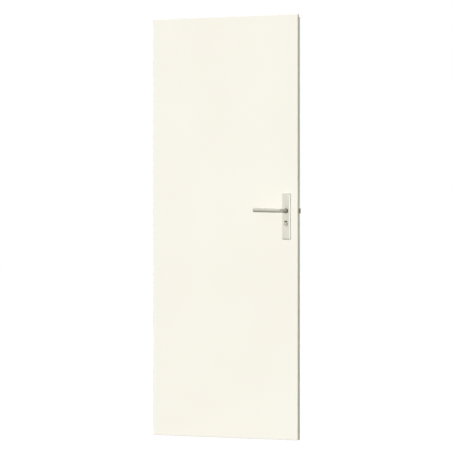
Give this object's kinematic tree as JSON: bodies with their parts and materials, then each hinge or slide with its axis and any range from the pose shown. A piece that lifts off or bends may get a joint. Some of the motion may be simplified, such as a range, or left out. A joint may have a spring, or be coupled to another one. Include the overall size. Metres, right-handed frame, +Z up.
{
  "type": "interior door",
  "caption": "Flush interior door leaf with an overlay lip, lever handles on long plates, a spring latch and a privacy bolt with a colour indicator.",
  "frame": {"origin": "on the hinge edge of the overlay lip, half way through the lip, level with the foot of the leaf", "axes": "+X from the hinge edge to the lock edge, -Y out of the front (lip) face, +Z up the leaf"},
  "size_m": [0.784, 0.1584, 2.015],
  "materials": {
    "painted_board": "satin cream-white paint on board",
    "painted_edge": "satin cream-white paint on timber",
    "bare_timber": "sawn",
    "plated_steel": "nickel plated",
    "satin_aluminium": "satin anodised",
    "grey_nylon": "matte",
    "green_plastic": "printed"
  },
  "bodies": {
    "leaf": {"front_skin": "painted_board", "back_skin": "painted_board", "hinge_stile": "painted_edge", "lock_stile": "painted_edge", "top_rail": "painted_edge", "bottom_rail": "painted_edge", "lock_block": "bare_timber", "lock_case": "plated_steel", "lock_forend": "plated_steel", "front_plate": "satin_aluminium", "back_plate": "satin_aluminium", "front_collar": "grey_nylon", "back_collar": "grey_nylon"},
    "lever_set": {"front_lever": "satin_aluminium", "back_lever": "satin_aluminium", "lever_spindle": "plated_steel", "lock_follower": "plated_steel"},
    "latch": {"latch_bolt": "plated_steel"},
    "privacy_set": {"release_plug": "satin_aluminium", "indicator_disc": "green_plastic", "thumb_turn": "satin_aluminium", "privacy_spindle": "plated_steel", "bolt_cam": "plated_steel"},
    "bolt": {"privacy_bolt": "plated_steel"}
  },
  "joints": [
    {"name": "lever_turn", "type": "hinge", "parent": "leaf", "child": "lever_set", "pos_m": [0.723, 0, 1.085], "axis": [0, -1, 0], "range_deg": [0, 45], "stiffness_Nm_per_rad": 1.2, "springref_deg": -28.65},
    {"name": "latch_slide", "type": "slide", "parent": "leaf", "child": "latch", "axis": [-1, 0, 0], "range_m": [0, 0.011]},
    {"name": "privacy_turn", "type": "hinge", "parent": "leaf", "child": "privacy_set", "pos_m": [0.723, 0, 1.022], "axis": [0, 1, 0], "range_deg": [0, 90]},
    {"name": "bolt_slide", "type": "slide", "parent": "leaf", "child": "bolt", "axis": [1, 0, 0], "range_m": [0, 0.014]}
  ],
  "couplings": [
    {"joint": "latch_slide", "follows": "lever_turn", "m_per_rad": 0.014},
    {"joint": "privacy_turn", "follows": "bolt_slide", "rad_per_m": 112.19}
  ]
}
